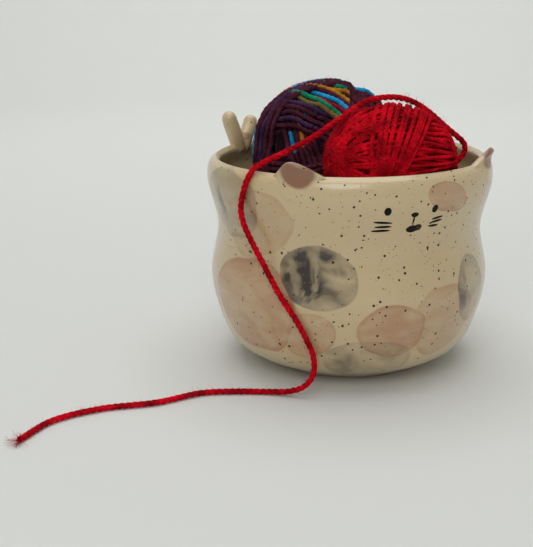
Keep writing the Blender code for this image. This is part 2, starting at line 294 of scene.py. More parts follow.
red_wool = wool("red dyed worsted wool", "#e40a22", "#800410", "#ff4a58")
plum_wool = wool("plum dyed worsted wool", "#5c2c3e", "#38161f", "#b890b0")
gold_wool = wool("gold dyed worsted wool", "#d28e2c", "#94601c", "#ffdca0")
sky_wool = wool("sky blue dyed worsted wool", "#2cb0e8", "#1478b0", "#c0e8ff")
teal_wool = wool("sea green dyed worsted wool", "#20a078", "#10684c", "#a0ffd8")
olive_wool = wool("olive dyed worsted wool", "#948048", "#62542c", "#e8e0a0")
cherry_wool = wool("cherry dyed worsted wool", "#b81c38", "#741020", "#ff8090")
violet_wool = wool("violet dyed worsted wool", "#543860", "#301c38", "#c8a8e0")
oatmeal_wool = wool("undyed oatmeal wool", "#a89a80", "#7c7058")
print("wool finishes ready")

# %% [markdown]
# # The red ball's loose end
# This is a free cord: 3.2 mm aran yarn that leaves the eye at the ball's right end, goes up over the
# ball, crosses the mouth, hangs over the rim and down the belly, and lies on the table to its cut
# end. The route's points are the model's own, so the fine strand lies where the simple one does.

# %% The strand
YARN = 3.2 * MM
STRAND_ROUTE = (
    (38.9, -34.6, 109.8), (41.1, -34.4, 109.5), (45.2, -34.5, 110.3), (48.2, -35.4, 113.1),
    (48.9, -36.8, 117.0), (47.1, -38.2, 120.6), (43.6, -37.7, 124.0), (39.8, -36.3, 127.3),
    (35.2, -34.9, 131.4), (29.0, -33.9, 136.7), (21.0, -33.3, 141.8), (12.5, -33.7, 144.7),
    (3.5, -34.4, 145.5), (-6.0, -34.8, 144.4), (-15.0, -35.4, 140.4), (-23.5, -35.8, 135.4),
    (-38.0, -35.9, 127.4), (-52.0, -34.8, 121.0), (-60.5, -33.4, 117.4), (-66.0, -33.0, 114.4),
    (-69.4, -33.0, 109.8), (-71.3, -31.6, 103.0), (-72.0, -29.6, 95.0), (-71.0, -30.2, 87.5),
    (-68.2, -34.4, 78.5), (-64.1, -41.8, 66.8), (-59.3, -49.2, 54.0), (-53.6, -54.6, 43.0),
    (-48.2, -56.4, 31.8), (-44.8, -57.1, 22.4), (-45.0, -57.2, 13.4), (-48.6, -55.2, 7.2),
    (-54.5, -49.8, 3.2), (-63.5, -43.2, 1.8), (-77.0, -37.0, 1.7), (-95.0, -31.8, 1.7),
    (-119.0, -35.0, 1.7), (-147.0, -32.2, 1.7), (-171.0, -37.4, 1.7), (-188.6, -52.9, 1.7),
)
STRAND_STEP = 0.8 * MM
strand_line = evenly(through([Vector(p) * MM for p in STRAND_ROUTE], 12), STRAND_STEP)
strand = yarn_piece("red_loose_end", [strand_line], YARN / 2, per_ply=6, closed=False, materials=[red_wool])
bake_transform(strand)
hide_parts("red_strand")
print(f"loose end {line_length(strand_line) * 1000:.0f} mm long, {len(strand.data.polygons)} faces")

# %% [markdown]
# # Winding
# A ball of wool is one strand laid round and round a core. Each turn is a ring on the ball's skin:
# take a ring of directions round some axis, and push each one out to the skin. Where a new turn
# crosses an old one it has to climb over it, and a taut strand then bridges the dip beside it. So
# turns are laid in order, each one lifted over what already lies within a strand's width of it.


# %% Helpers for winding
CLOSE = 0.9  # share of a strand's width within which a turn counts as lying over another
BRIDGE_PASSES = 7  # how far a taut strand carries on past what it climbs over
EASE_PASSES = 2


def leaning(tip, turn):
    """A direction that leans tip towards X from one that points turn round X."""
    return (sin(tip), cos(tip) * cos(turn), cos(tip) * sin(turn))


def ring(axis, tilt_from_axis, count):
    """Directions round axis, all at one angle from it. At 90 degrees the ring goes round the middle."""
    axis = Vector(axis).normalized()
    side = axis.orthogonal().normalized()
    up = axis.cross(side)
    away = radians(tilt_from_axis)
    return [
        cos(away) * axis + sin(away) * (cos(turn) * side + sin(turn) * up)
        for turn in [2 * pi * k / count for k in range(count)]
    ]


def skin_of(length, radius, squareness=2.0):
    """A form round the X axis: squareness 2 is an egg, and more is nearer a drum."""

    def skin(direction):
        along = abs(direction.x) / length
        across = hypot(direction.y, direction.z) / radius
        reach = (along**squareness + across**squareness) ** (-1 / squareness)
        point = direction * reach
        slope = (abs(point.x) / length) ** (squareness - 1) / length
        steep = (hypot(point.y, point.z) / radius) ** (squareness - 1) / radius
        out = Vector((0, point.y, point.z)).normalized() * steep
        out.x = slope if point.x > 0 else -slope
        return point, out.normalized()

    return skin


def wind(rings, skin, width, squeeze=0.62, deepest=1.9):
    """Lays each ring of directions on the skin, over the turns already there."""
    feet, heights, laid = [], [], []
    for directions in rings:
        spots = [skin(d) for d in directions]
        lift = [0.0] * len(spots)
        if feet:
            tree = KDTree(len(feet))
            for j, foot in enumerate(feet):
                tree.insert(foot, j)
            tree.balance()
            for i, (foot, _) in enumerate(spots):
                for _, j, gap in tree.find_range(foot, CLOSE * width):
                    climb = heights[j] + squeeze * width * sqrt(1 - (gap / width) ** 2)
                    lift[i] = max(lift[i], min(climb, deepest * width))
        for _ in range(BRIDGE_PASSES):
            lift = [max(h, (lift[i - 1] + lift[(i + 1) % len(lift)]) / 2) for i, h in enumerate(lift)]
        for _ in range(EASE_PASSES):
            lift = [(lift[i - 1] + 2 * h + lift[(i + 1) % len(lift)]) / 4 for i, h in enumerate(lift)]
        laid.append([foot + h * out for (foot, out), h in zip(spots, lift)])
        feet += [foot for foot, _ in spots]
        heights += lift
    return laid


def joint_named(name):
    """The model's joint of that name."""
    return next(j for j in frame["joints"] if j["name"] == name)


def ball_frame(joint_name, node_name):
    """Where a ball lies, with X along its length, and its half length and radius, from the model."""
    joint = joint_named(joint_name)
    along = Vector(joint["axis"]).normalized()
    side = Vector((0, 0, 1)).cross(along).normalized()
    turn = Matrix((along, side, along.cross(side))).transposed().to_4x4()
    place = Matrix.Translation(joint["pos_m"]) @ turn
    back = place.inverted()
    points = [back @ v.co for v in frame["nodes"][node_name].data.vertices]
    return place, max(abs(p.x) for p in points), max(hypot(p.y, p.z) for p in points)


print("winding ready")

# %% [markdown]
# # The red ball
# The red ball was wound lengthwise first, so its turns gather round an eye at each end, and finished
# with a slanted band across the middle. Both groups are laid by the same function, band last, so the
# band climbs over the lengthwise turns as it does on the real ball.

# %% Red ball
RED_STRAND = 2.15 * MM  # a wrapped turn is drawn thinner than the loose end, because it is pulled tight
STITCH = 1.25 * MM  # distance between points along a turn
WINDING_SKIP = 15  # neighbouring turns aren't laid one after the other, so they cross each other
draw = random.Random(5)

red_place, red_half, red_radius = ball_frame("red_roll", "red_ball_wraps")
red_skin = skin_of(red_half - 2.5 * RED_STRAND, red_radius - 1.85 * RED_STRAND)


def lengthwise(count, lean, scatter, points):
    """Turns that pass the ends of the ball at lean degrees from X, spread evenly round it."""
    made = []
    order = [(i * WINDING_SKIP) % count for i in range(count)]
    for i in order:
        turn = 2 * pi * i / count
        tip = radians(lean + draw.uniform(-scatter, scatter))
        made.append(ring(leaning(tip, turn), 90, points))
    return made


red_points = round(2 * pi * (red_half + red_radius) / 2 / STITCH)
under = lengthwise(23, 27, 5, red_points)
over = lengthwise(53, 6, 3.5, red_points)
# the band's turns cross near the front of the rim and fan out over the top
BAND_TURNS = 17
BAND_FAN = 36
BAND_SPREAD = 20
BAND_SKIP = 7
crossing = Vector((-0.6, -0.75, -0.27)).normalized()
over_the_top = Vector((0.18, 0, 0.98)).normalized()
across = over_the_top.cross(crossing).normalized()
band = []
for i in [(k * BAND_SKIP) % BAND_TURNS for k in range(BAND_TURNS)]:
    share = i / (BAND_TURNS - 1) - 0.5
    lean = BAND_FAN * share + draw.uniform(-2, 2)
    axis = Matrix.Rotation(radians(lean), 3, crossing) @ across
    band.append(ring(axis, 90 + BAND_SPREAD * share, round(2 * pi * red_radius / STITCH)))
turns = wind([*under, *over, *band], red_skin, RED_STRAND, squeeze=0.6, deepest=2.3)
red_winding = yarn_piece(
    "red_ball_winding", turns[:-BAND_TURNS], RED_STRAND / 2, materials=[red_wool], place=red_place
)
red_band = yarn_piece(
    "red_ball_band_turns", turns[-BAND_TURNS:], RED_STRAND / 2, materials=[red_wool], place=red_place
)
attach(red_winding, "red_ball")
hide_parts("red_ball_wraps")
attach(red_band, "red_ball")
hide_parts("red_ball_band")
print(f"red ball {len(turns)} turns, {len(red_winding.data.polygons) + len(red_band.data.polygons)} faces")

# %% [markdown]
# # The many-coloured ball
# This ball was wound by hand from a yarn dyed mostly plum, with runs of gold, sky blue, sea green,
# cherry and olive. Its eye faces the viewer, and the turns run past it in bundles. A bundle is a few
# turns side by side, and each bundle passes the eye on its own side and at its own distance.

# %% Many-coloured ball
MULTI_STRAND = 3.1 * MM
MULTI_DYES = [plum_wool, gold_wool, sky_wool, teal_wool, olive_wool, cherry_wool, violet_wool]
PLUM, GOLD, SKY, TEAL, OLIVE, CHERRY, VIOLET = range(len(MULTI_DYES))

multi_place, multi_half, multi_radius = ball_frame("multi_roll", "multi_ball_wraps")
multi_skin = skin_of(multi_half - 2.6 * MULTI_STRAND, multi_radius - 2.5 * MULTI_STRAND)
eye_aim = (multi_place.to_3x3().inverted() @ Vector((-26.8, -23.9, 2.5))).normalized()


def past_eye(turn, lean):
    """The axis of a turn that passes the eye by lean degrees, on the side opposite turn degrees."""
    side = Vector((0, 0, 1)).cross(eye_aim).normalized()
    up = eye_aim.cross(side)
    out = cos(radians(turn)) * side + sin(radians(turn)) * up
    return cos(radians(lean)) * out + sin(radians(lean)) * eye_aim


MULTI_BUNDLES = (
    # which way it runs past the eye and how far off, in degrees; dyes of the turns laid side by side
    (40, 35, (PLUM, VIOLET, PLUM, GOLD)),
    (130, 30, (PLUM, TEAL, PLUM, PLUM)),
    (200, 45, (VIOLET, PLUM, CHERRY, PLUM)),
    (300, 35, (PLUM, SKY, PLUM, VIOLET)),
    (165, 60, (PLUM, GOLD, PLUM, PLUM)),
    (22, -2, (CHERRY, PLUM, GOLD, PLUM, SKY, PLUM)),
    (80, 50, (PLUM, VIOLET, PLUM, PLUM)),
    (94, 15, (CHERRY, GOLD, PLUM)),
    (262, 28, (PLUM, VIOLET, PLUM, PLUM, VIOLET)),
    (242, 49, (OLIVE, TEAL, CHERRY, SKY, PLUM)),
    (246, 72, (GOLD, PLUM, GOLD, TEAL, PLUM)),
    (352, 38, (PLUM, PLUM, VIOLET, PLUM, SKY)),
)
SIDE_BY_SIDE = 4.5  # degrees from one turn of a bundle to the next
multi_points = round(2 * pi * (multi_half + multi_radius) / 2 / STITCH)
multi_rings, multi_picks = [], []
for side, lean, dyes in MULTI_BUNDLES:
    for i, dye in enumerate(dyes):
        off = (i - (len(dyes) - 1) / 2) * SIDE_BY_SIDE
        axis = past_eye(side + draw.uniform(-3, 3), lean + draw.uniform(-1, 1))
        multi_rings.append(ring(axis, 90 + off, multi_points))
        multi_picks.append(dye)
multi_turns = wind(multi_rings, multi_skin, MULTI_STRAND, squeeze=0.6, deepest=2.4)
multi_winding = yarn_piece(
    "multi_ball_winding",
    multi_turns,
    MULTI_STRAND / 2,
    materials=MULTI_DYES,
    picks=multi_picks,
    place=multi_place,
)
# the yarn was dyed in runs, so a coloured turn goes back to plum part way round
DYE_RUN = 24 * MM
RUN_OVER = -0.2  # level of the noise under which a run of dye has ended
LEFT_SIDE, HIGH_UP = -0.02, 0.124  # no sky blue is left past both of these, in metres
for face in multi_winding.data.polygons:
    run_over = noise.noise(face.center / DYE_RUN + Vector((3.1, 0, 0))) < RUN_OVER
    upper_left = face.center.z > HIGH_UP and face.center.x < LEFT_SIDE
    if run_over or (upper_left and face.material_index == SKY):
        face.material_index = PLUM
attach(multi_winding, "multi_ball")
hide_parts("multi_ball_wraps")
print(f"many-coloured ball {len(multi_turns)} turns, {len(multi_winding.data.polygons)} faces")

# %% [markdown]
# # Loose fibres
# Wool is never bare: a halo of single fibres stands off it and glows against the light. A real ball
# has thousands. Several hundred thin hairs of a few faces each, started at chosen points of the laid
# turns and bent outwards, give the same soft edge. Their wool is a paler copy of the dye, a painted
# glow. The cut end is a small brush of longer ones.


# %% Loose fibres
FIBRE = 0.1 * MM
STRAY = 0.9  # how far a fibre leaves the straight way out
CURL = 0.7  # how far it bends over its length
TAPER = 0.6  # how much of its thickness is gone at its end


def any_way():
    """A random direction, of any length."""
    return Vector([draw.gauss(0, 1) for _ in range(3)])


def hairs(name, roots, long, thick, finish, place=None):
    """Fine bent hairs. roots holds (point, way out) pairs."""
    data = bpy.data.curves.new(name, "CURVE")
    data.dimensions = "3D"
    data.bevel_depth = thick / 2
    data.bevel_resolution = 0
    data.use_fill_caps = True
    for root, out in roots:
        way = (out + STRAY * any_way().normalized()).normalized()
        reach = long * draw.uniform(0.4, 1.3)
        bend = way.cross(any_way().normalized())
        spline = data.splines.new("POLY")
        spline.points.add(3)
        for k, point in enumerate(spline.points):
            t = k / 3
            at = root + reach * (t * way + CURL * t * t * bend)
            point.co = (*at, 1)
            point.radius = 1 - TAPER * t
    made = swept_piece(name, data, place)
    made.data.materials.clear()
    made.data.materials.append(finish)
    return made


def on_turns(laid, width, count):
    """Chosen points on the outside of laid turns, each with its way out from the ball's middle."""
    roots = []
    for _ in range(count):
        at = draw.choice(draw.choice(laid))
        out = at.normalized()
        roots.append((at + 0.4 * width * out, out))
    return roots


def on_strand(line, width, count):
    """Chosen points round a strand, each with its way out from it."""
    roots = []
    for _ in range(count):
        k = draw.randrange(1, len(line) - 1)
        along = (line[k + 1] - line[k - 1]).normalized()
        out = along.cross(any_way()).normalized()
        roots.append((line[k] + 0.4 * width * out, out))
    return roots


def keep_off_table(piece):
    """Lifts what would sink into the table back onto it."""
    for vert in piece.data.vertices:
        vert.co.z = max(vert.co.z, FIBRE)


# the loose fibres take paler copies of the dyes: a painted glow for the light that they catch
red_fibres_painted_glow = wool("loose red fibres with painted glow", "#d85058", "#b02834", "#ffb0b0")
plum_fibres_painted_glow = wool("loose plum fibres with painted glow", "#7c5468", "#543448", "#e0c0d0")
red_fuzz = hairs("red_ball_fuzz", on_turns(turns, RED_STRAND, 900), 3.2 * MM, FIBRE, red_fibres_painted_glow, red_place)
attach(red_fuzz, "red_ball")
multi_fuzz = hairs(
    "multi_ball_fuzz", on_turns(multi_turns, MULTI_STRAND, 600), 2.6 * MM, FIBRE, plum_fibres_painted_glow, multi_place
)
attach(multi_fuzz, "multi_ball")
strand_fuzz = hairs("loose_end_fuzz", on_strand(strand_line, YARN, 900), 2.4 * MM, FIBRE, red_fibres_painted_glow)
keep_off_table(strand_fuzz)
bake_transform(strand_fuzz)
cut_way = (strand_line[-1] - strand_line[-6]).normalized()
TUFT_HAIRS = 70
cut_roots = []
for _ in range(TUFT_HAIRS):
    spread = Vector((draw.uniform(-1, 1), draw.uniform(-1, 1), draw.uniform(-0.6, 1)))
    cut_roots.append((strand_line[-1] + 0.28 * YARN * spread - 1.5 * MM * cut_way, 2.2 * cut_way))
cut_end = hairs("loose_end_tuft", cut_roots, 6.0 * MM, 2.2 * FIBRE, red_wool)
keep_off_table(cut_end)
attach(cut_end, "bowl")
print(f"fibres {len(red_fuzz.data.polygons) + len(multi_fuzz.data.polygons)} faces on the balls")

# %% [markdown]
# # Hearts of the balls
# Every ball starts as a few turns round the fingers. The hearts are hidden, but they are pieces of
# their own, because the outer turns can roll round them. A lining of tight turns lies between the
# heart and the outer winding, and closes the gaps that light would fall through. Its wool is a darker
# copy of the dye: painted shade.


# %% Hearts and linings
def spun(name, profile, finish, sides=48, closed=True, place=None):
    """Turns (radius, height) points round Z into a smooth mesh."""
    bm = bmesh.new()
    start = [bm.verts.new((r, 0, z)) for r, z in profile]
    pairs = list(zip(start, start[1:])) + ([(start[-1], start[0])] if closed else [])
    edges = [bm.edges.new(pair) for pair in pairs]
    bmesh.ops.spin(bm, geom=start + edges, axis=(0, 0, 1), angle=2 * pi, steps=sides, use_merge=True)
    bmesh.ops.remove_doubles(bm, verts=bm.verts[:], dist=1e-6)
    bmesh.ops.recalc_face_normals(bm, faces=bm.faces[:])
    return as_piece(name, bm, finish, place)


def as_piece(name, bm, finish, place=None):
    """Makes the bmesh an object with one finish, its place kept in its mesh."""
    if place is not None:
        bmesh.ops.transform(bm, matrix=place, verts=bm.verts[:])
    mesh = bpy.data.meshes.new(name)
    bm.to_mesh(mesh)
    bm.free()
    mesh.shade_smooth()
    mesh.materials.append(finish)
    made = bpy.data.objects.new(name, mesh)
    bpy.context.scene.collection.objects.link(made)
    return made


def lining(name, place, length, radius, finish, body):
    """A thin shell of tight inner turns, open at both eyes."""
    open_at = radians(14)
    thin = 0.9
    steps = 24
    arc = [open_at + (pi - 2 * open_at) * i / steps for i in range(steps + 1)]
    outer = [(radius * sin(a), -length * cos(a)) for a in arc]
    inner = [(thin * r, thin * z) for r, z in outer]
    made = spun(name, outer + inner[::-1], finish, place=place @ Matrix.Rotation(pi / 2, 4, "Y"))
    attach(made, body)


def heart(name, joint_name, node_name, width, finish, body):
    """The first turns of a ball, wound loosely inside the rest."""
    place, half, radius = ball_frame(joint_name, node_name)
    skin = skin_of(half - 1.6 * width, radius - 1.6 * width)
    count = round(pi * radius / width * 0.6)
    points = round(2 * pi * radius / STITCH / 1.3)
    rings = []
    for i in range(count):
        turn = pi * ((i * 5) % count) / count
        tip = radians(draw.uniform(8, 30))
        rings.append(ring(leaning(tip, turn), 90, points))
    laid = wind(rings, skin, width, deepest=1.2)
    made = yarn_piece(name, laid, width / 2, materials=[finish], place=place)
    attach(made, body)
    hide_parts(node_name)


heart("red_ball_heart", "red_roll", "red_ball_centre", RED_STRAND, red_wool, "red_centre")
heart(
    "multi_ball_heart", "multi_roll", "multi_ball_centre", MULTI_STRAND, plum_wool, "multi_centre",
)
# each lining takes a darker copy of its ball's wool, painted shade
lining(
    "red_ball_inner_turns",
    red_place,
    red_half - 2.9 * RED_STRAND,
    red_radius - 2.1 * RED_STRAND,
    wool("red wool in shade", "#960818", "#5c040e"),
    "red_ball",
)
lining(
    "multi_ball_inner_turns",
    multi_place,
    multi_half - 2.6 * MULTI_STRAND,
    multi_radius - 2.4 * MULTI_STRAND,
    wool("plum wool in shade", "#2a1220", "#1a0a14"),
    "multi_ball",
)
print("hearts and linings made")

# %% [markdown]
# # The lower cake
# A cake is wound on a winder, which lays the strand in crossing slants round a drum-shaped body. It
# fills the bowl and carries the two balls. Only glimpses of it show between balls and rim.

# %% Lower cake
CAKE_STRAND = 3.6 * MM
cake_joint = joint_named("cake_turn")
cake_up = Vector(cake_joint["axis"]).normalized()
cake_side = Vector((0, 1, 0)).cross(cake_up).normalized()
cake_turn = Matrix((cake_up, cake_side, cake_up.cross(cake_side))).transposed().to_4x4()
cake_top = Vector(cake_joint["pos_m"])
cake_points = [v.co for v in frame["nodes"]["lower_cake"].data.vertices]
cake_height = max((cake_top - p).dot(cake_up) for p in cake_points)
cake_middle = cake_top - cake_up * cake_height / 2
cake_place = Matrix.Translation(cake_middle) @ cake_turn
cake_back = cake_place.inverted()
cake_radius = max(hypot((cake_back @ p).y, (cake_back @ p).z) for p in cake_points)
cake_skin = skin_of(cake_height / 2 - 1.6 * CAKE_STRAND, cake_radius - 1.6 * CAKE_STRAND, 4.0)
CAKE_TURNS = 44
CAKE_SLANT = 52
CAKE_SKIP = 9
CAKE_TOP_TURNS = 7  # small rings that close the top
cake_rings = []
for i in range(CAKE_TURNS):
    turn = 2 * pi * ((i * CAKE_SKIP) % CAKE_TURNS) / CAKE_TURNS
    cake_rings.append(ring(leaning(radians(CAKE_SLANT), turn), 90, 150))
for i in range(CAKE_TOP_TURNS):
    cake_rings.append(ring((1, 0, 0), 8 + 5 * i, 90))
cake_laid = wind(cake_rings, cake_skin, CAKE_STRAND, squeeze=0.5, deepest=1.0)
cake = yarn_piece("cake_winding", cake_laid, CAKE_STRAND / 2, materials=[oatmeal_wool], place=cake_place)
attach(cake, "lower_cake")
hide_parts("lower_cake")
# the cake's lining takes a darker copy of its oatmeal wool, painted shade
lining(
    "cake_inner_turns",
    cake_place,
    cake_height / 2 - 1.5 * CAKE_STRAND,
    cake_radius - 1.8 * CAKE_STRAND,
    wool("oatmeal wool in shade", "#7c7058", "#5c5240"),
    "lower_cake",
)
print(f"cake {len(cake_laid)} turns, {cake_height * 1000:.0f} mm high")

# %% [markdown]
# # The thrown body
# A thrower pulls one wall up from the wheel: a trimmed foot, a full belly, a waist, a shoulder and a
# rounded lip. Spinning the half section round the axis makes that form exactly as the wheel does. The
# stations are the model's driving sizes, and a smooth line through them gives the fine outline.

# %% Bowl body
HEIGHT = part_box("bowl")[1].z
SHOULDER_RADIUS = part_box("bowl")[1].x
FOOT_RADIUS = 40.2 * MM
BELLY_RADIUS = 74.8 * MM
BELLY_HEIGHT = 50 * MM
WAIST_RADIUS = 70.8 * MM
WAIST_HEIGHT = HEIGHT - 36 * MM
SHOULDER_HEIGHT = HEIGHT - 11.3 * MM
LIP_RADIUS = 71.3 * MM
LIP_THICKNESS = 4.4 * MM
WALL = 5 * MM
FLOOR = 7 * MM
BODY_SIDES = 192
SPAN_STEPS = 10
swell = BELLY_RADIUS - FOOT_RADIUS
outside = (
    (FOOT_RADIUS, 0),
    (FOOT_RADIUS + 0.67 * swell, 0.27 * BELLY_HEIGHT),
    (FOOT_RADIUS + 0.88 * swell, 0.57 * BELLY_HEIGHT),
    (BELLY_RADIUS, BELLY_HEIGHT),
    (WAIST_RADIUS, WAIST_HEIGHT),
    (SHOULDER_RADIUS, SHOULDER_HEIGHT),
    (LIP_RADIUS + 0.75 * LIP_THICKNESS, HEIGHT - 0.57 * LIP_THICKNESS),
    (LIP_RADIUS, HEIGHT),
)
inside = (
    (LIP_RADIUS, HEIGHT),
    (LIP_RADIUS - 0.5 * LIP_THICKNESS, HEIGHT - 0.5 * LIP_THICKNESS),
    (SHOULDER_RADIUS - WALL, SHOULDER_HEIGHT),
    (WAIST_RADIUS - WALL, WAIST_HEIGHT),
    (BELLY_RADIUS - WALL, BELLY_HEIGHT),
    (0.84 * (BELLY_RADIUS - WALL), FLOOR + 0.2 * BELLY_HEIGHT),
    (FOOT_RADIUS, FLOOR),
)


def smooth_profile(stations):
    """The (radius, height) points of a smooth line through the stations."""
    return [(p.x, p.y) for p in through([(r, z, 0) for r, z in stations], SPAN_STEPS)]


outer_profile = smooth_profile(outside)
inner_profile = smooth_profile(inside)


def wall_radius(profile, height):
    """How far the wall stands from the axis at a height."""
    for (r1, z1), (r2, z2) in zip(profile, profile[1:]):
        if min(z1, z2) <= height <= max(z1, z2) and z1 != z2:
            return r1 + (r2 - r1) * (height - z1) / (z2 - z1)
    return profile[-1][0]


def on_wall(azimuth, height, proud=0.0):
    """A point on the outside, azimuth in degrees from the face side towards +X."""
    radius = wall_radius(outer_profile, height) + proud
    return Vector((radius * sin(radians(azimuth)), -radius * cos(radians(azimuth)), height))


print(f"wall {wall_radius(outer_profile, BELLY_HEIGHT) * 1000:.1f} mm from the axis at the belly")

# %% [markdown]
# # Glaze
# The clay is a buff stoneware with iron specks, under brushed underglaze spots and a clear glaze.
# Each spot was one loaded brush turned in place: an oval with a soft wet edge, streaky where the
# pigment pooled. The pattern lives on the wall, so its plane is unrolled: degrees round the pot
# become millimetres of arc, and each spot is an oval placed, turned and scaled on that plane by one
# Mapping node. Iron specks are seeds of a Voronoi pattern that happen to lie close to the surface.

# %% Glaze finish
ARC = 75 * MM  # radius at which the wall is unrolled
SHAKE = 7 * MM  # how far an outline may wander, both ways together
BRUSH_SLANT = 0.35
# middle round the pot in degrees, height, half width, half height (mm), turn (degrees), strength
GREY_SPOTS = (
    (-36.5, 62.8, 21.0, 15.4, -8, 0.42),
    (33.5, 50.0, 14.5, 19.0, 12, 0.45),
    (-16.0, 18.5, 26.0, 13.0, 0, 0.35),
    (-79.0, 95.0, 24.0, 18.0, 0, 0.4),
    (101.0, 84.0, 20.0, 15.0, 10, 0.5),
    (150.0, 48.0, 22.0, 18.0, -10, 0.5),
    (-142.0, 70.0, 21.0, 16.0, 14, 0.5),
)
# where the brush was set down, the pigment is thick
DARK_SPOTS = (
    (-43.0, 64.0, 11.5, 13.0, 20, 1.3),
    (-35.0, 71.5, 15.0, 5.6, -12, 0.9),
    (-35.0, 56.5, 14.0, 3.8, -22, 0.7),
    (25.0, 53.0, 4.5, 12.0, 10, 0.8),
    (-27.0, 17.0, 8.0, 7.0, 20, 0.5),
    (-6.0, 21.0, 8.0, 4.0, -10, 0.35),
    (-86.0, 92.0, 3.0, 8.0, 0, 0.7),
    (95.0, 86.0, 9.0, 8.0, 10, 0.8),
    (143.0, 50.0, 9.0, 10.0, -10, 0.8),
    (-148.0, 74.0, 10.0, 7.0, 14, 0.8),
)
PINK_SPOTS = (
    (14.0, 100.5, 13.0, 7.4, -14, 0.8),
    (-65.0, 86.0, 24.0, 17.0, 10, 0.35),
    (-68.0, 44.0, 30.0, 25.0, 0, 0.75),
    (-41.0, 33.0, 15.0, 12.0, 12, 0.6),
    (-7.0, 36.0, 19.0, 15.0, -6, 0.85),
    (17.0, 38.0, 22.0, 19.0, 0, 0.55),
    (72.0, 70.0, 24.0, 18.0, 10, 0.5),
    (120.0, 40.0, 26.0, 20.0, -10, 0.7),
    (178.0, 88.0, 22.0, 14.0, 6, 0.6),
    (-112.0, 40.0, 24.0, 18.0, -8, 0.6),
)
EAR_AZIMUTH = 44
TAIL_AZIMUTH = -145
EAR_SPOTS = (
    (-EAR_AZIMUTH + 0.2, 114.0, 8.6, 5.6, 0, 1.0),
    (EAR_AZIMUTH + 0.8, 114.5, 6.4, 5.4, 0, 1.0),
    # the third is a brown patch in the fork where the tail's two coils part at the rim
    (TAIL_AZIMUTH - 1.0, 116.8, 4.5, 1.8, 0, 0.6),
)


def spot(tree, plane, middle, height, half_width, half_height, turn, strength, soft=0.1, rim=0.0):
    """The mask of one brushed spot: strength inside, 0 outside. soft is the edge's share of it.

    rim is how much more pigment a drying wash leaves along its edge.
    """
    placed = node(
        tree,
        "Mapping",
        {
            "Vector": plane,
            "Location": (radians(middle) * ARC, height * MM, 0),
            "Rotation": (0, 0, radians(turn)),
            "Scale": (half_width * MM, half_height * MM, 1),
        },
        vector_type="TEXTURE",
    )
    reach = node(tree, "VectorMath", {0: placed.outputs[0]}, operation="LENGTH")
    inside = node(
        tree,
        "MapRange",
        {
            "Value": reach.outputs["Value"],
            "From Min": 1.0 + soft / 2,
            "From Max": 1.0 - soft / 2,
            "To Min": 0.0,
            "To Max": strength,
        },
        interpolation_type="SMOOTHSTEP",
    ).outputs[0]
    if rim == 0:
        return inside
    edge = node(
        tree,
        "MapRange",
        {
            "Value": reach.outputs["Value"],
            "From Min": 0.86,
            "From Max": 0.96,
            "To Min": 1.0,
            "To Max": 1.0 + rim,
        },
    ).outputs[0]
    return node(tree, "Math", {0: inside, 1: edge}, operation="MULTIPLY").outputs[0]


def strongest(tree, masks):
    """The highest of several masks."""
    result = masks[0]
    for mask in masks[1:]:
        result = node(tree, "Math", {0: result, 1: mask}, operation="MAXIMUM").outputs[0]
    return result


def specks(tree, place, spacing, size, smallest):
    """Iron specks: 1 in a speck, 0 elsewhere. size is the largest radius."""
    seeds = node(tree, "TexVoronoi", {"Vector": place, "Scale": 1 / spacing, "Randomness": 1.0})
    chance = node(tree, "SeparateColor", {"Color": seeds.outputs["Color"]}).outputs[0]
    radius = node(
        tree,
        "MapRange",
        {"Value": chance, "To Min": smallest / spacing, "To Max": size / spacing},
    ).outputs[0]
    inside_by = node(
        tree, "Math", {0: radius, 1: seeds.outputs["Distance"]}, operation="SUBTRACT"
    ).outputs[0]
    return node(
        tree, "MapRange", {"Value": inside_by, "From Min": 0.0, "From Max": 0.04 * MM / spacing}
    ).outputs[0]


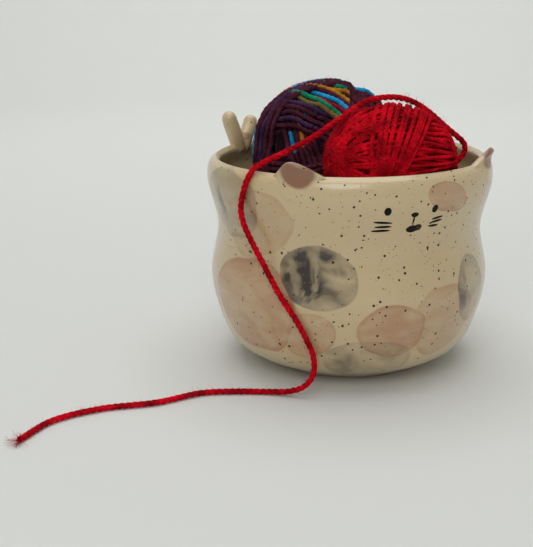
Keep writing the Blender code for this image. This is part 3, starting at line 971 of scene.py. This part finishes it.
def glaze(name, clay="#ccb890"):
    """Speckled stoneware with brushed spots under a clear glaze."""
    made, tree, shader = new_material(name)
    place = node(tree, "TexCoord").outputs["Object"]
    parts = node(tree, "SeparateXYZ", {0: place})
    towards = node(tree, "Math", {0: parts.outputs[1], 1: -1.0}, operation="MULTIPLY").outputs[0]
    azimuth = node(tree, "Math", {0: parts.outputs[0], 1: towards}, operation="ARCTAN2").outputs[0]
    arc = node(tree, "Math", {0: azimuth, 1: ARC}, operation="MULTIPLY").outputs[0]
    flat = node(tree, "CombineXYZ", {0: arc, 1: parts.outputs[2]}).outputs[0]
    # a brush never leaves a true oval, so the plane is shaken by a few millimetres
    shake = node(tree, "TexNoise", {"Vector": place, "Scale": 45.0, "Detail": 1.0}).outputs["Color"]
    centred = node(tree, "VectorMath", {0: shake, 1: (0.5, 0.5, 0.5)}, operation="SUBTRACT").outputs[0]
    shaken = node(
        tree, "VectorMath", {0: centred, 1: (SHAKE,) * 3, 2: flat}, operation="MULTIPLY_ADD"
    ).outputs[0]
    grey = strongest(tree, [spot(tree, shaken, *s, soft=0.06, rim=0.2) for s in GREY_SPOTS])
    dark = strongest(tree, [spot(tree, shaken, *s, soft=1.1) for s in DARK_SPOTS])
    pink = strongest(tree, [spot(tree, shaken, *s, soft=0.05, rim=0.45) for s in PINK_SPOTS])
    ears = strongest(tree, [spot(tree, shaken, *s, soft=0.35) for s in EAR_SPOTS])
    # pigment pools in slanting sweeps of the brush, about 12 mm long and 5 mm apart
    streaked = node(
        tree, "Mapping", {"Vector": flat, "Rotation": (0, 0, BRUSH_SLANT), "Scale": (45, 95, 1)}
    ).outputs[0]
    pooling = node(
        tree, "TexNoise", {"Vector": streaked, "Scale": 1.0, "Detail": 2.0, "Distortion": 0.6}
    ).outputs["Fac"]
    density = node(
        tree,
        "MapRange",
        {"Value": pooling, "From Min": 0.36, "From Max": 0.62, "To Min": 0.45, "To Max": 1.0},
    ).outputs[0]
    warm = node(tree, "TexNoise", {"Vector": place, "Scale": 22.0, "Detail": 2.0}).outputs["Fac"]
    body = node(
        tree, "Mix", {0: warm, 6: linear(clay), 7: linear("#c4ac82")}, data_type="RGBA"
    ).outputs[2]
    pink_wash = node(tree, "Math", {0: pink, 1: density}, operation="MULTIPLY").outputs[0]
    body = node(
        tree, "Mix", {0: pink_wash, 6: body, 7: linear("#b0825e")}, data_type="RGBA"
    ).outputs[2]
    grey_wash = node(tree, "Math", {0: grey, 1: density}, operation="MULTIPLY").outputs[0]
    body = node(
        tree, "Mix", {0: grey_wash, 6: body, 7: linear("#564a3c")}, data_type="RGBA"
    ).outputs[2]
    inside = node(tree, "Math", {0: grey, 1: 3.0}, operation="MULTIPLY", use_clamp=True).outputs[0]
    swirl = node(
        tree, "TexNoise", {"Vector": place, "Scale": 75.0, "Detail": 2.0, "Distortion": 0.9}
    ).outputs["Fac"]
    thick = node(
        tree, "MapRange", {"Value": swirl, "From Min": 0.38, "From Max": 0.56, "To Min": 0.3, "To Max": 1.1}
    ).outputs[0]
    dark_wash = node(tree, "Math", {0: dark, 1: inside}, operation="MULTIPLY").outputs[0]
    dark_wash = node(tree, "Math", {0: dark_wash, 1: thick}, operation="MULTIPLY", use_clamp=True).outputs[0]
    body = node(
        tree, "Mix", {0: dark_wash, 6: body, 7: linear("#30261e")}, data_type="RGBA"
    ).outputs[2]
    body = node(tree, "Mix", {0: ears, 6: body, 7: linear("#8c6044")}, data_type="RGBA").outputs[2]
    fine = specks(tree, place, 2.2 * MM, 0.4 * MM, 0.1 * MM)
    body = node(tree, "Mix", {0: fine, 6: body, 7: linear("#8a6a48")}, data_type="RGBA").outputs[2]
    coarse = specks(tree, place, 3.3 * MM, 0.75 * MM, 0.0)
    body = node(tree, "Mix", {0: coarse, 6: body, 7: linear("#0a0604")}, data_type="RGBA").outputs[2]
    tree.links.new(body, shader.inputs["Base Color"])
    # throwing leaves faint rings, and the glaze runs a little thick and thin
    runs = node(tree, "TexNoise", {"Vector": place, "Scale": 28.0, "Detail": 1.0}).outputs["Fac"]
    rings = node(
        tree,
        "TexWave",
        {"Vector": place, "Scale": 28.0, "Distortion": 1.5, "Detail": 1.0},
        bands_direction="Z",
    ).outputs["Fac"]
    uneven = node(tree, "Math", {0: rings, 1: 0.25, 2: runs}, operation="MULTIPLY_ADD").outputs[0]
    bump = node(tree, "Bump", {"Height": uneven, "Strength": 0.25, "Distance": 0.8 * MM}).outputs[0]
    tree.links.new(bump, shader.inputs["Normal"])
    shader.inputs["Roughness"].default_value = 0.3
    shader.inputs["IOR"].default_value = 1.52
    shader.inputs["Coat Weight"].default_value = 0.6
    shader.inputs["Coat Roughness"].default_value = 0.06
    return made


clear_glaze = glaze("clear glaze over speckled stoneware")
ear_glaze = glaze("pink-brown slip under clear glaze")
profile = [(0, 0), *outer_profile, *inner_profile[1:], (0, FLOOR)]
body = spun("glazed_body", profile, clear_glaze, sides=BODY_SIDES, closed=False)
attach(body, "bowl")
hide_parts("bowl")
print(f"body {len(body.data.polygons)} faces")

# %% [markdown]
# # Ears
# The ears were pinched up from the soft rim, so they are not stuck on: the lip itself rises into a
# rounded point and leans out. Each ear is a row of closed sections along the rim. At its two ends the
# section hides just under the lip, so the surface grows out of it without a line.

# %% Ears
EAR_HALF_ANGLE = 11.5  # degrees from its middle to where it has sunk into the lip
EAR_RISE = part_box("ear_left")[1].z - HEIGHT
EAR_LEAN = 4.0 * MM
EAR_TIP = 3.4 * MM  # thickness at the tip
EAR_SKIRT = 12 * MM  # how far below the rim its outer face begins
EAR_PEAK = 0.22
HIDDEN = 0.15 * MM  # how deep the buried edges lie


def ear_section(azimuth, rise):
    """A closed outline of the ear at one azimuth, from the wall outside over the tip to the inside."""
    h, lean, tip = EAR_RISE * rise, EAR_LEAN * rise, EAR_TIP / 2
    low = HEIGHT - 1.2 * MM - EAR_SKIRT * rise
    middle = HEIGHT - 0.6 * MM - 0.42 * EAR_SKIRT * rise
    inner_low = HEIGHT - 1.2 * MM - 3.5 * MM * rise
    half = LIP_THICKNESS / 2
    thin = tip + (half - 0.4 * MM - tip) * (1 - rise)
    # the two ends of the ear sink into the lip, so nothing shows where it starts
    sunk = (1 - rise) ** 5 * 0.6 * MM
    stations = (
        (wall_radius(outer_profile, low) - HIDDEN, low),
        (wall_radius(outer_profile, middle) - HIDDEN + 0.5 * MM * rise - 0.5 * sunk, middle),
        (LIP_RADIUS + half * 0.95 + 0.62 * lean - sunk, HEIGHT - 0.6 * MM + 0.36 * h - 0.7 * sunk),
        (LIP_RADIUS + lean + thin - 0.6 * sunk, HEIGHT - 0.5 * MM + 0.84 * h - sunk),
        (LIP_RADIUS + lean, HEIGHT - 0.1 * MM + h - sunk),
        (LIP_RADIUS + lean - thin + 0.6 * sunk, HEIGHT - 0.5 * MM + 0.84 * h - sunk),
        (LIP_RADIUS - half * 0.8 + 0.3 * lean + sunk, HEIGHT - 0.8 * MM + 0.3 * h - 0.7 * sunk),
        (wall_radius(inner_profile, inner_low) + HIDDEN, inner_low),
        (LIP_RADIUS - 0.3 * MM, inner_low - 1.5 * MM),
    )
    line = through([(r, z, 0) for r, z in stations], 4, closed=True)
    turn = radians(azimuth)
    return [Vector((p.x * sin(turn), -p.x * cos(turn), p.y)) for p in line]


def lofted(name, rings, finish):
    """Bridges closed rings into one skin and caps both ends."""
    bm = bmesh.new()
    loops = []
    for points in rings:
        verts = [bm.verts.new(p) for p in points]
        loops.append([bm.edges.new(pair) for pair in zip(verts, verts[1:] + verts[:1])])
    for a, b in zip(loops, loops[1:]):
        bmesh.ops.bridge_loops(bm, edges=a + b)
    for end in (loops[0], loops[-1]):
        bmesh.ops.holes_fill(bm, edges=end, sides=len(end))
    bmesh.ops.recalc_face_normals(bm, faces=bm.faces[:])
    return as_piece(name, bm, finish)


def make_ear(side, name, node_name):
    """One ear, side -1 for the left and 1 for the right, its peak a little off its middle."""
    sections = []
    steps = 40
    for i in range(steps + 1):
        s = -1 + 2 * i / steps
        peak = side * EAR_PEAK
        reach = (s - peak) / ((1 - peak) if s > peak else (1 + peak))
        rise = max(0.0, cos(pi / 2 * reach)) ** 1.7
        sections.append(ear_section(side * EAR_AZIMUTH + s * EAR_HALF_ANGLE, rise))
    made = lofted(name, sections, ear_glaze)
    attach(made, "bowl")
    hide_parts(node_name)


make_ear(-1, "pinched_ear_left", "ear_left")
make_ear(1, "pinched_ear_right", "ear_right")
print("ears made")

# %% [markdown]
# # Tail
# The forked tail is two rolled coils of clay pressed onto the rim and smeared together at the root.
# Clay joins have no edges: everything is stroked round with a wet finger. Voxel remeshing does the
# same to a pile of overlapping forms, and a dozen smoothing passes afterwards are the finger.

# %% Tail
TAIL_RADIUS = 4.5 * MM
TAIL_VOXEL = 0.5 * MM
FINGER_STROKES = 12
ROOT_HALF_WIDTH = 9  # degrees of rim on each side that the coils are smeared onto
BALL_CUTS = 3
# azimuth, distance out from the lip's crest, height over the rim, thickness as a share
LEFT_PRONG = (
    (-142.6, -0.2, -1.6, 0.92), (-141.3, 0.0, 2.6, 0.98), (-140.0, 0.7, 7.4, 1.0),
    (-139.0, 1.6, 11.6, 0.98), (-138.5, 2.2, 14.6, 0.95),
)
RIGHT_PRONG = (
    (-146.6, -0.2, -1.6, 0.9), (-148.2, 0.0, 2.0, 0.98), (-150.4, 0.4, 5.4, 0.96),
    (-152.4, 1.1, 8.4, 0.94), (-153.6, 1.6, 10.8, 0.92),
)


def prong(bm, stations):
    """A coil of clay with a rounded tip, added to the bmesh."""
    middles = []
    for azimuth, out, up, share in stations:
        radius = LIP_RADIUS + out * MM
        turn = radians(azimuth)
        middles.append(Vector((radius * sin(turn), -radius * cos(turn), HEIGHT + up * MM)))
    line = through(middles, 4)
    shares = through([(s[3], 0, 0) for s in stations], 4)
    for middle, share in zip(line, shares):
        bmesh.ops.create_icosphere(
            bm, subdivisions=BALL_CUTS, radius=TAIL_RADIUS * share.x, matrix=Matrix.Translation(middle)
        )


def rim_arc(bm, start, end):
    """A short stretch of lip, a little thinner than the real one, for the coils to be smeared onto."""
    steps = 16
    half = LIP_THICKNESS / 2 - 0.35 * MM
    for i in range(steps + 1):
        turn = radians(start + (end - start) * i / steps)
        middle = Vector((LIP_RADIUS * sin(turn), -LIP_RADIUS * cos(turn), HEIGHT - half - 0.35 * MM))
        bmesh.ops.create_icosphere(
            bm, subdivisions=BALL_CUTS, radius=half, matrix=Matrix.Translation(middle)
        )


bm = bmesh.new()
prong(bm, LEFT_PRONG)
prong(bm, RIGHT_PRONG)
rim_arc(bm, TAIL_AZIMUTH - ROOT_HALF_WIDTH, TAIL_AZIMUTH + ROOT_HALF_WIDTH)
tail = as_piece("forked_tail", bm, clear_glaze)
remesh = tail.modifiers.new("smear", "REMESH")
remesh.mode = "VOXEL"
remesh.voxel_size = TAIL_VOXEL
remesh.use_smooth_shade = True
stroke = tail.modifiers.new("stroke", "SMOOTH")
stroke.iterations = FINGER_STROKES
stroke.factor = 0.5
ready = tail.evaluated_get(bpy.context.evaluated_depsgraph_get())
tail.data = bpy.data.meshes.new_from_object(ready)
tail.modifiers.clear()
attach(tail, "bowl")
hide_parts("tail_prong_left", "tail_prong_right")
print(f"tail {len(tail.data.polygons)} faces")

# %% [markdown]
# # Face
# The face is brushed on in black: a dab for each eye, the nose and the mouth, and a flick for each
# whisker. A dab of thick glaze stands a little proud and catches the light at its edge. A flattened
# ball, bent onto the wall, has just that lens shape with soft tapering ends.

# %% Face
DAB_PROUD = 0.22 * MM
FACE_TURN = -25.3  # the face's own zero, in degrees round the pot
WHISKER_WIDTH = 1.25


def painted(name, colour):
    """Thick brushed glaze colour: even, dark and glossy."""
    made, tree, shader = new_material(name)
    place = node(tree, "TexCoord").outputs["Object"]
    thick = node(tree, "TexNoise", {"Vector": place, "Scale": 700.0, "Detail": 2.0}).outputs["Fac"]
    shade = node(
        tree, "Mix", {0: thick, 6: linear(colour), 7: linear("#14100e")}, data_type="RGBA"
    ).outputs[2]
    tree.links.new(shade, shader.inputs["Base Color"])
    shader.inputs["Roughness"].default_value = 0.25
    shader.inputs["Specular IOR Level"].default_value = 0.15
    return made


black_glaze = painted("brushed black glaze", "#0c0b0b")
brown_glaze = painted("thin brown glaze", "#4a3828")


def dab(name, middle, height, length, width, turn=0.0, finish=black_glaze, proud=DAB_PROUD):
    """A lens of glaze on the wall. middle in degrees on the face, the rest in mm and degrees."""
    bm = bmesh.new()
    bmesh.ops.create_uvsphere(bm, u_segments=28, v_segments=10, radius=1)
    size = (length / 2 * MM, width / 2 * MM, proud)
    bmesh.ops.scale(bm, vec=size, verts=bm.verts[:])
    bmesh.ops.rotate(bm, matrix=Matrix.Rotation(radians(turn), 3, "Z"), verts=bm.verts[:])
    for vert in bm.verts:
        up = height * MM + vert.co.y
        azimuth = middle + FACE_TURN + degrees(vert.co.x / wall_radius(outer_profile, up))
        vert.co = on_wall(azimuth, up, vert.co.z)
    bmesh.ops.recalc_face_normals(bm, faces=bm.faces[:])
    made = as_piece(name, bm, finish)
    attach(made, "bowl")


def flick(name, start, end, width):
    """A whisker from one (degrees, mm) place on the face to another."""
    (a1, z1), (a2, z2) = start, end
    run = radians(a2 - a1) * wall_radius(outer_profile, z1 * MM) / MM
    length = hypot(run, z2 - z1)
    dab(name, (a1 + a2) / 2, (z1 + z2) / 2, length, width, turn=degrees(atan2(z2 - z1, run)))


dab("eye_left", 14.4, 96.9, 3.6, 4.1)
dab("eye_right", 33.5, 96.4, 3.4, 4.0, turn=-20)
dab("nose", 25.2, 94.4, 4.0, 2.5)
dab("nose_line", 25.0, 91.8, 5.4, 0.9, turn=86)
dab("mouth_wash", 27.2, 87.6, 4.6, 3.3, turn=10, finish=brown_glaze, proud=0.8 * DAB_PROUD)
dab("mouth", 24.9, 87.1, 6.4, 3.6, turn=4)
WHISKERS = {
    "left": (((9.3, 91.7), (16.6, 90.9)), ((9.8, 89.1), (16.4, 89.1)), ((8.6, 87.1), (16.0, 87.2))),
    "right": (((32.9, 91.0), (38.1, 91.9)), ((32.6, 89.3), (38.1, 90.2)), ((31.9, 87.6), (36.6, 87.5))),
}
for side, strokes in WHISKERS.items():
    for i, (start, end) in enumerate(strokes):
        flick(f"whisker_{side}_{i + 1}", start, end, WHISKER_WIDTH)
print("face painted")

# %% [markdown]
# # Studio
# The picture wants no horizon: floor and backdrop are one pale sweep, here a wide dish, so that the
# pot can be looked at from any side. A large soft light hangs above it, a little behind, and the
# sweep throws its light back up, which keeps the shadows soft. A smaller one fills the front from
# the left, and a third washes the backdrop.

# %% Studio
SWEEP_FLOOR = 1.3
SWEEP_BEND = 0.7
SWEEP_TOP = 2.2
BEND_STEPS = 12
sweep_profile = [(0, 0), (SWEEP_FLOOR, 0)]
for i in range(1, BEND_STEPS + 1):
    turn = pi / 2 * i / BEND_STEPS
    sweep_profile.append((SWEEP_FLOOR + SWEEP_BEND * sin(turn), SWEEP_BEND * (1 - cos(turn))))
sweep_profile.append((SWEEP_FLOOR + SWEEP_BEND, SWEEP_TOP))
paper, tree, shader = new_material("pale paper sweep")
shader.inputs["Base Color"].default_value = linear("#dedfdc")
shader.inputs["Roughness"].default_value = 0.8
shader.inputs["Specular IOR Level"].default_value = 0.1
sweep = spun("sweep", sweep_profile, paper, sides=64, closed=False)


def soft_light(name, place, aim_at, size, power):
    """A round soft light of size metres across, aimed at a point, power in watts."""
    light = bpy.data.lights.new(name, "AREA")
    light.shape = "DISK"
    light.size = size
    light.energy = power
    made = bpy.data.objects.new(name, light)
    bpy.context.scene.collection.objects.link(made)
    away = Vector(place) - Vector(aim_at)
    made.matrix_world = Matrix.Translation(place) @ away.to_track_quat("Z", "Y").to_matrix().to_4x4()


soft_light("overhead", (0.0, 0.1, 1.6), (0, 0, 0), 1.7, 11)
soft_light("front_fill", (-0.55, -0.95, 0.8), (0, 0, 0.08), 0.8, 4.4)
soft_light("backdrop_wash", (0.35, 0.75, 1.5), (0.75, 2.0, 0.6), 1.0, 9)
world = bpy.data.worlds.new("studio")
world.use_nodes = True
world.node_tree.nodes["Background"].inputs["Color"].default_value = linear("#f4f6f8")
world.node_tree.nodes["Background"].inputs["Strength"].default_value = 0.4
bpy.context.scene.world = world
bpy.context.scene.view_settings.view_transform = "Standard"
print("studio lit")
